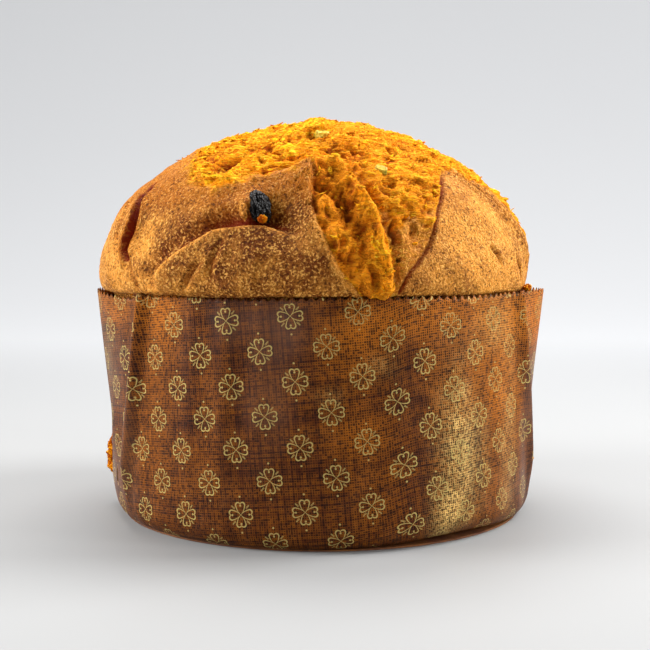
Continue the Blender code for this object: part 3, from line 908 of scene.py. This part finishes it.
def buildCaseWall():
    columns = case["teeth"] * case["columnsPerTooth"]
    clearSelection()
    bpy.ops.mesh.primitive_grid_add(x_subdivisions=columns, y_subdivisions=case["rows"], size=2)
    wall = bpy.context.object
    wall.name = wall.data.name = "case_wall"
    square = vertexPlaces(wall)
    column = (square[:, 0] + 1) / 2 * columns
    level = (square[:, 1] + 1) / 2
    azimuth = -180 + column / case["columnsPerTooth"] * 360 / case["teethRound"]
    cornerRun = case["cornerRadius"] * math.pi / 2
    run = level ** 0.96 * (case["height"] - case["cornerRadius"] + cornerRun)
    turn = np.clip(run / cornerRun, 0, 1) * math.pi / 2
    height = np.where(run < cornerRun, case["cornerRadius"] * (1 - np.cos(turn)),
                      run - cornerRun + case["cornerRadius"])
    radius = case["radius"] - (case["radius"] - case["footRadius"]) * (1 - np.sin(turn))
    radius += standOff(azimuth, height) * smoothStep(height / 9)
    radius += 0.55 * smoothStep((azimuth - 179.2) / 2.0)               # the lap, glued over the other end
    across = (column / case["columnsPerTooth"]) % 1
    tooth = np.abs(2 * across - 1)
    reach = smoothStep((height - 84) / (case["height"] - 84))
    top = (tooth - 0.5) * case["toothDepth"] * (level > 0.999)
    droop = (0.35 * np.sin(np.radians(azimuth) * 7) - 1.2 * bump(azimuth + 60, 10) + 0.5
        * bump(azimuth - 86, 20))
    footLift = 0.35 + 2.4 * bump(azimuth - 38,
                                 22) * (1 - smoothStep(height / 12)) + 0.5 * bump(azimuth + 120, 50) * (
        1 - smoothStep(height / 12))
    places = np.stack([
        radius * np.sin(np.radians(azimuth)),
        -radius * np.cos(np.radians(azimuth)),
        height * (1 - 0.004) + top + droop * reach + footLift,
    ], axis=-1)
    placeVertices(wall, places * mm)
    # the sheet's own measure, in metres along and up; the print runs slantwise towards the right
    along = np.radians(azimuth) * case["radius"]
    slant = smoothStep((along - 20) / 15) * smoothStep((120 - along) / 60)
    alongPrint = along - slant * np.clip(60 - height, 0, 60) * 0.06
    upPrint = run - cornerRun + case["cornerRadius"] - 2.4 * slant
    sheet = np.stack([(alongPrint + 270) * mm, (upPrint + 20) * mm], axis=-1)
    corner = np.empty(len(wall.data.loops), dtype=int)
    wall.data.loops.foreach_get("vertex_index", corner)
    layer = wall.data.uv_layers.active
    layer.name = "sheet"
    layer.data.foreach_set("uv", sheet[corner].ravel())
    # stains: butter makes the paper warm and clear, with painted light glowing through the right flap and
    # painted shade on the left flap; a painted grey sheen stands for reflections on ridges and smooth parts;
    # and the gold wash shows in one band
    blots = roughness(places, 24, 3, 21)
    fine = roughness(places, 7, 3, 22)

    def patch(spots):
        total = np.zeros(len(places))
        for a, h, wide, tall, strength in spots:
            total += strength * bump(azimuth - a, wide) * bump(height - h, tall)
        return total

    # butter stains; the strong patches high on the right flap are also painted light shining through the
    # paper, and the negative patch on the left flap's middle is painted shade
    warm = patch([(-70, 58, 11, 20, -0.4), (-42, 84, 8, 13, 0.75), (-43, 62, 7, 24, 0.40),
                  (-70, 84, 18, 9, 0.75), (8, 75, 9, 13, 0.42),
                  (9, 40, 9, 9, 0.40), (26, 84, 16, 10, 0.60), (50, 82, 16, 12, 0.70), (38, 60, 12, 16, 0.35),
                  (56, 45, 9, 34, 0.55), (84, 80, 14, 13, 1.4), (70, 84, 8, 8, 0.5), (84, 28, 10, 14, 0.35),
                  (-44, 22, 12, 14, 0.25),
                  (-120, 60, 18, 40, 0.5), (150, 50, 30, 40, 0.5), (-170, 70, 16, 30, 0.5)])
    warm = warm + 0.30 * blots + 0.18 * fine
    gold = patch([(35, 44, 5, 20, 0.50), (33, 13, 4.2, 13, 0.75), (31, 8, 3.0, 7, 0.55),
                  (39, 30, 6, 16, 0.65), (50, 78, 8, 9, 0.35),
                  (57, 30, 4, 24, 0.40), (-74, 64, 5, 12, 0.25), (14, 66, 4, 4, 0.2), (2, 56, 3, 3, 0.15),
                  (160, 40, 8, 30, 0.5)]) * (0.90 + 0.7 * fine)
    # painted reflection: a cool grey sheen on the ridges and smooth parts of the paper
    paintedSheen = patch([(-9, 80, 7, 12, 0.85), (-22, 82, 5, 8, 0.50), (-12, 53, 6, 15, 0.55),
                  (-57, 45, 3, 40, 0.75),
                  (-70, 62, 9, 20, 0.60), (-72, 15, 9, 11, 1.0), (68, 45, 3, 34, 0.9), (84, 56, 8, 12, 0.7),
                  (66, 14, 12, 10, 0.35), (-150, 30, 10, 20, 0.5)]) + 0.15 * fine
    addMask(wall, "stains", [warm, gold, paintedSheen, np.ones(len(places))])
    thickness = wall.modifiers.new("paper", "SOLIDIFY")
    thickness.thickness = case["paper"] * mm
    thickness.offset = -1
    thickness.material_offset = 1
    thickness.material_offset_rim = 1
    applyAll(wall)
    return wall


def tearHole(wall, azimuth, height, half, lumps, seed):
    # a ragged hole: a noisy lump cut out of the wall
    def ragged(ways):
        return 1 + lumps * roughness(ways * 4, 1.6, 3, seed)

    lump = roundBody("hole_tool", half, 5, ragged)
    turn = math.radians(azimuth)
    lump.data.transform(Matrix.Rotation(turn, 4, "Z"))
    lump.data.transform(Matrix.Translation((86 * math.sin(turn), -86 * math.cos(turn), height)))
    lump.data.transform(Matrix.Scale(mm, 4))
    recalculate(lump)
    cutter = wall.modifiers.new("hole", "BOOLEAN")
    cutter.operation = "DIFFERENCE"
    cutter.solver = "EXACT"
    cutter.object = lump
    applyAll(wall)
    bpy.data.objects.remove(lump, do_unlink=True)


paperLook = {
    "dry": colour(82, 36, 7),
    "warm": colour(206, 118, 22),
    "sheenGrey": colour(104, 76, 64),
    "dot": colour(18, 5, 1),
    "gold": colour(194, 170, 100),
    "goldWash": colour(250, 206, 122),
    "inside": colour(150, 92, 40),
    "originAlong": 273.5,   # where one motif's centre stands on the sheet, in millimetres
    "originUp": 70.0,
    "repeatAlong": (23.3, 2.0),
    "repeatUp": (-1.7, 22.9),
}


def buildClover():
    # gold mask of one four-petalled motif; the place is in millimetres from the motif's centre
    group = bpy.data.node_groups.new("clover", "ShaderNodeTree")
    for name in ("Across", "Up"):
        group.interface.new_socket(name, in_out="INPUT", socket_type="NodeSocketFloat")
    group.interface.new_socket("Gold", in_out="OUTPUT", socket_type="NodeSocketFloat")
    wires = Wires(group)
    start, end = wires.node("NodeGroupInput"), wires.node("NodeGroupOutput")
    calc = wires.calc
    across, up = calc("ABSOLUTE", start.outputs["Across"]), calc("ABSOLUTE", start.outputs["Up"])
    along, beside = calc("MAXIMUM", across, up), calc("MINIMUM", across, up)

    def far(x, y, centreX, centreY):
        return calc("SQRT", calc("ADD", calc("POWER", calc("SUBTRACT", x, centreX), 2.0),
                                 calc("POWER", calc("SUBTRACT", y, centreY), 2.0)))

    def line(distance, half):
        return wires.spread(distance, calc("ADD", half, 0.07), calc("SUBTRACT", half, 0.07), smooth=True)

    # the heart's outline is a radius that changes with the direction from its middle
    middle = 2.75
    reach = far(along, beside, middle, 0.0)
    turn = calc("DIVIDE", calc("ARCTAN2", beside, calc("SUBTRACT", along, middle)), math.pi)
    curve = wires.node("ShaderNodeFloatCurve")
    wires.join(turn, curve.inputs["Value"])
    points = curve.mapping.curves[0].points
    outline = [(0.0, 0.32), (0.10, 0.50), (0.22, 0.615), (0.36, 0.60), (0.5, 0.50), (0.7, 0.50),
               (0.86, 0.62), (1.0, 0.86)]
    points[0].location, points[1].location = outline[0], outline[-1]
    for place in outline[1:-1]:
        points.new(*place)
    curve.mapping.update()
    radius = calc("MULTIPLY", curve.outputs[0], 3.2)
    half = wires.spread(along, 1.6, 4.2, 0.12, 0.27)
    gold = line(calc("ABSOLUTE", calc("SUBTRACT", reach, radius)), half)
    gold = calc("MAXIMUM", gold, line(far(along, beside, 3.25, 0.0), 0.36))
    # short strokes between the petals
    slide = calc("SUBTRACT", along, calc("MULTIPLY", beside, 0.92))
    stroke = line(calc("ABSOLUTE", calc("SUBTRACT", slide, 0.42)), 0.11)
    span = calc("ABSOLUTE", calc("SUBTRACT", calc("ADD", along, beside), 5.5))
    gold = calc("MAXIMUM", gold, calc("MULTIPLY", stroke, wires.spread(span, 1.3, 1.0, smooth=True)))
    gold = calc("MAXIMUM", gold, line(far(across, up, 0.0, 6.4), 0.36))
    wires.join(gold, end.inputs["Gold"])
    return group


def buildPaperPrint(look):
    # the sheet's print: gold motifs on a staggered lattice, and a weave of threads with dark gaps
    clover = buildClover()
    group = bpy.data.node_groups.new("paperPrint", "ShaderNodeTree")
    group.interface.new_socket("Sheet", in_out="INPUT", socket_type="NodeSocketVector")
    for name in ("Gold", "Gaps", "Threads", "Grain"):
        group.interface.new_socket(name, in_out="OUTPUT", socket_type="NodeSocketFloat")
    wires = Wires(group)
    calc = wires.calc
    start, end = wires.node("NodeGroupInput"), wires.node("NodeGroupOutput")
    parts = wires.node("ShaderNodeSeparateXYZ")
    wobble = wires.cloud(start.outputs["Sheet"], 30, 2, 0.5)
    wires.join(start.outputs["Sheet"], parts.inputs[0])
    bend = calc("MULTIPLY", calc("SUBTRACT", wobble, 0.5), 1.6)
    x = calc("SUBTRACT", calc("MULTIPLY", parts.outputs[0], 1000.0), look["originAlong"])
    y = calc("ADD", calc("SUBTRACT", calc("MULTIPLY", parts.outputs[1], 1000.0), look["originUp"]), bend)
    (ax, ay), (bx, by) = look["repeatAlong"], look["repeatUp"]
    size = ax * by - bx * ay
    i = calc("SUBTRACT", calc("MULTIPLY", x, by / size), calc("MULTIPLY", y, bx / size))
    j = calc("SUBTRACT", calc("MULTIPLY", y, ax / size), calc("MULTIPLY", x, ay / size))
    golds = []
    for offset in (0.0, 0.5):
        placed = []
        for value, repeat in ((i, 23.4), (j, 23.0)):
            shifted = calc("ADD", value, offset)
            placed.append(calc("MULTIPLY", calc("SUBTRACT", shifted, calc("ROUND", shifted)), repeat))
        motif = wires.node("ShaderNodeGroup", node_tree=clover)
        wires.join(placed[0], motif.inputs["Across"])
        wires.join(placed[1], motif.inputs["Up"])
        golds.append(motif.outputs["Gold"])
    wires.join(calc("MAXIMUM", *golds), end.inputs["Gold"])
    # the weave: some thirty threads to a repeat, each gap of its own size and stretch
    u, v = calc("MULTIPLY", i, 27.0), calc("MULTIPLY", j, 26.0)
    cellPlace = wires.node("ShaderNodeCombineXYZ")
    wires.join(calc("FLOOR", u), cellPlace.inputs[0])
    wires.join(calc("FLOOR", v), cellPlace.inputs[1])
    chance = wires.node("ShaderNodeTexWhiteNoise", noise_dimensions="3D")
    wires.join(cellPlace.outputs[0], chance.inputs["Vector"])
    drawn = wires.node("ShaderNodeSeparateColor")
    wires.join(chance.outputs["Color"], drawn.inputs[0])
    fromMiddleU = calc("ABSOLUTE", calc("SUBTRACT", calc("FRACT", u), 0.5))
    fromMiddleV = calc("ABSOLUTE", calc("SUBTRACT", calc("FRACT", v), 0.5))
    stretchU = wires.spread(drawn.outputs[1], 0, 1, 0.7, 1.5)
    stretchV = wires.spread(drawn.outputs[2], 0, 1, 0.7, 1.5)
    away = calc("MAXIMUM", calc("MULTIPLY", fromMiddleU, stretchU), calc("MULTIPLY", fromMiddleV, stretchV))
    opening = wires.spread(drawn.outputs[0], 0, 1, 0.16, 0.46)
    gaps = wires.spread(away, calc("ADD", opening, 0.10), calc("SUBTRACT", opening, 0.08), smooth=True)
    wires.join(gaps, end.inputs["Gaps"])
    rows = wires.node("ShaderNodeTexWhiteNoise", noise_dimensions="1D")
    wires.join(calc("FLOOR", v), rows.inputs["W"])
    lines = wires.node("ShaderNodeTexWhiteNoise", noise_dimensions="1D")
    wires.join(calc("ADD", calc("FLOOR", u), 500.5), lines.inputs["W"])
    wires.join(calc("MULTIPLY", calc("ADD", rows.outputs["Value"], lines.outputs["Value"]), 0.5),
               end.inputs["Threads"])
    wires.join(wires.cloud(start.outputs["Sheet"], 900, 3, 0.6), end.inputs["Grain"])
    return group


def buildPaperMaterial(look):
    material, tree, surface = newMaterial("printedPaper")
    wires = Wires(tree)
    calc = wires.calc
    printed = wires.node("ShaderNodeGroup", node_tree=buildPaperPrint(look))
    wires.join(wires.node("ShaderNodeUVMap", uv_map="sheet").outputs[0], printed.inputs["Sheet"])
    stains = wires.node("ShaderNodeSeparateColor")
    wires.join(wires.node("ShaderNodeVertexColor", layer_name="stains").outputs["Color"], stains.inputs[0])
    warm, wash, paintedSheen = stains.outputs[0], stains.outputs[1], stains.outputs[2]
    base = wires.mix(warm, look["dry"], look["warm"])
    base = wires.mix(wires.spread(printed.outputs["Threads"], 0.2, 0.8, 0.0, 0.34), base, look["warm"])
    base = wires.mix(wires.spread(printed.outputs["Grain"], 0.35, 0.65, 0.0, 0.22), base, look["dot"])
    flecks = calc("MULTIPLY", wash, wires.spread(printed.outputs["Grain"], 0.36, 0.58, 0.15, 1.0))
    base = wires.mix(flecks, base, look["goldWash"])
    gaps = calc("MULTIPLY", printed.outputs["Gaps"], calc("SUBTRACT", 0.86, calc("MULTIPLY", paintedSheen, 0.30)))
    base = wires.mix(gaps, base, look["dot"])
    # painted reflection: the grey sheen
    base = wires.mix(calc("MULTIPLY", paintedSheen, 0.45), base, look["sheenGrey"])
    clearGold = calc("MULTIPLY", printed.outputs["Gold"],
                     calc("SUBTRACT", 0.92, calc("MULTIPLY", warm, 0.35)))
    base = wires.mix(clearGold, base, look["gold"])
    wires.join(base, surface.inputs["Base Color"])
    wires.join(calc("MAXIMUM", calc("MULTIPLY", clearGold, 0.35), calc("MULTIPLY", flecks, 0.5)),
               surface.inputs["Metallic"])
    rough = calc("SUBTRACT", 0.55, calc("MULTIPLY", paintedSheen, 0.10))
    wires.join(calc("SUBTRACT", rough, calc("MULTIPLY", wash, 0.15)), surface.inputs["Roughness"])
    wires.join(calc("MULTIPLY", paintedSheen, 0.35, clamp=True), surface.inputs["Coat Weight"])
    surface.inputs["Coat Roughness"].default_value = 0.28
    surface.inputs["Specular IOR Level"].default_value = 0.12
    relief = wires.node("ShaderNodeBump")
    relief.inputs["Strength"].default_value = 0.6
    relief.inputs["Distance"].default_value = 0.0002
    wires.join(calc("SUBTRACT", printed.outputs["Grain"], calc("MULTIPLY", printed.outputs["Gaps"], 0.6)),
               relief.inputs["Height"])
    wires.join(relief.outputs[0], surface.inputs["Normal"])
    return material


def buildPlainPaper(look):
    material, tree, surface = newMaterial("plainPaper")
    wires = Wires(tree)
    place = wires.node("ShaderNodeTexCoord").outputs["Object"]
    clouds = wires.cloud(place, 60, 4, 0.6)
    fibres = wires.cloud(place, 900, 3, 0.6)
    base = wires.mix(wires.spread(clouds, 0.35, 0.65, smooth=True), look["inside"], colour(112, 62, 34))
    wires.join(wires.mix(wires.spread(fibres, 0.4, 0.7, 0.0, 0.3), base, look["dot"]),
               surface.inputs["Base Color"])
    surface.inputs["Roughness"].default_value = 0.7
    relief = wires.node("ShaderNodeBump")
    relief.inputs["Strength"].default_value = 0.3
    relief.inputs["Distance"].default_value = 0.0002
    wires.join(fibres, relief.inputs["Height"])
    wires.join(relief.outputs[0], surface.inputs["Normal"])
    return material


print("paper case")
caseWall = buildCaseWall()
tornHoles = ((-90.0, 22.0, (11.5, 5.0, 10.5), 0.22, 31), (91.0, 20.0, (7.5, 5.0, 7.0), 0.2, 32),
             (-69.5, 17.5, (0.7, 5.0, 3.4), 0.3, 33), (-62.0, 17.0, (0.6, 5.0, 0.5), 0.2, 34))
for azimuth, height, half, lumps, seed in tornHoles:
    tearHole(caseWall, azimuth, height, half, lumps, seed)
printedPaper = buildPaperMaterial(paperLook)
plainPaper = buildPlainPaper(paperLook)
sides = np.empty(len(caseWall.data.polygons), dtype=np.int32)
caseWall.data.polygons.foreach_get("material_index", sides)
finishPiece(caseWall, printedPaper, "case_paper", "paper_case")
caseWall.data.materials.append(plainPaper)
caseWall.data.polygons.foreach_set("material_index", np.clip(sides, 0, 1).astype(np.int32))

clearSelection()
baseDisc = {"radius": 81.6, "thickness": 0.7, "sides": 256}
bpy.ops.mesh.primitive_cylinder_add(
    vertices=baseDisc["sides"], radius=baseDisc["radius"] * mm, depth=baseDisc["thickness"] * mm,
    location=(0, 0, baseDisc["thickness"] / 2 * mm))
caseBase = bpy.context.object
caseBase.name = caseBase.data.name = "case_base"
bpy.ops.object.transform_apply(location=True, rotation=True, scale=True)
edge = caseBase.modifiers.new("edge", "BEVEL")
edge.width = 0.2 * mm
edge.segments = 2
applyAll(caseBase)
finishPiece(caseBase, plainPaper, "case_paper")

# camera, light and floor

camera = bpy.data.objects.new("camera", bpy.data.cameras.new("camera"))
scene.collection.objects.link(camera)
camera.location = (0.0013, -0.480, 0.106)
camera.rotation_euler = (math.radians(86.3), 0, 0)
camera.data.sensor_width = 36
camera.data.lens = 63.5
scene.camera = camera
scene.view_settings.view_transform = "Standard"

studio = {
    "key": ((0.52, 0.06, 0.56), (0.30, 0.30), 6.5, (1.0, 0.99, 0.97)),
    "top": ((-0.05, 0.18, 0.72), (0.45, 0.30), 4.6, (1.0, 0.99, 0.97)),
    "frontFill": ((-0.35, -0.80, 0.50), (0.60, 0.60), 0.8, (0.96, 0.98, 1.0)),
    "rightStrip": ((0.55, -0.26, 0.22), (0.08, 0.40), 1.2, (1.0, 0.98, 0.96)),
    "leftSide": ((-0.60, -0.10, 0.34), (0.30, 0.50), 5.0, (1.0, 0.98, 0.95)),
}
for name, (where, size, power, tint) in studio.items():
    lamp = bpy.data.lights.new(name, "AREA")
    lamp.shape = "RECTANGLE"
    lamp.size, lamp.size_y = size
    lamp.energy = power
    lamp.color = tint
    holder = bpy.data.objects.new(name, lamp)
    scene.collection.objects.link(holder)
    holder.location = where
    holder.rotation_euler = (Vector((0, 0, 0.09)) - Vector(where)).to_track_quat("-Z", "Y").to_euler()

world = bpy.data.worlds.new("studio")
scene.world = world
world.use_nodes = True
world.node_tree.nodes["Background"].inputs[0].default_value = (0.97, 0.98, 1.0, 1)
world.node_tree.nodes["Background"].inputs[1].default_value = 0.32

# a pale sweep: the floor, which rises in a wide curve far behind
clearSelection()
bpy.ops.mesh.primitive_plane_add(size=7, location=(0, -1.7, 0))
floor = bpy.context.object
floor.name = "floor"
bpy.ops.object.transform_apply(location=True, rotation=True, scale=True)
bpy.ops.object.mode_set(mode="EDIT")
bpy.ops.mesh.select_mode(type="EDGE")
bpy.ops.mesh.select_all(action="DESELECT")
bpy.ops.object.mode_set(mode="OBJECT")
for edgeLine in floor.data.edges:
    edgeLine.select = all(floor.data.vertices[i].co.y > 1.7 for i in edgeLine.vertices)
bpy.ops.object.mode_set(mode="EDIT")
bpy.ops.mesh.extrude_region_move(TRANSFORM_OT_translate={"value": (0, 0, 3.0)})
bpy.ops.object.mode_set(mode="OBJECT")
curve = floor.modifiers.new("curve", "BEVEL")
curve.width = 0.9
curve.segments = 24
applyAll(floor)
bpy.ops.object.shade_smooth()
paint, tree, floorSurface = newMaterial("paleSweep")
wires = Wires(tree)
parts = wires.node("ShaderNodeSeparateXYZ")
wires.join(wires.node("ShaderNodeTexCoord").outputs["Object"], parts.inputs[0])
floorSurface.inputs["Base Color"].default_value = (0.345, 0.35, 0.355, 1)
floorSurface.inputs["Roughness"].default_value = 0.6
floorSurface.inputs["Emission Color"].default_value = (0.97, 0.98, 1.0, 1)
# the sweep glows as painted light, brighter towards the back and the right and dimmer higher up
glow = wires.spread(parts.outputs[1], 0.0, 1.0, 0.02, 0.60, smooth=True)
lower = wires.spread(parts.outputs[2], 0.0, 0.9, 1.0, 0.74)
side = wires.spread(parts.outputs[0], -0.7, 0.6, 0.95, 1.12)
wires.join(wires.calc("MULTIPLY", wires.calc("MULTIPLY", glow, lower), side),
           floorSurface.inputs["Emission Strength"])
floor.data.materials.append(paint)
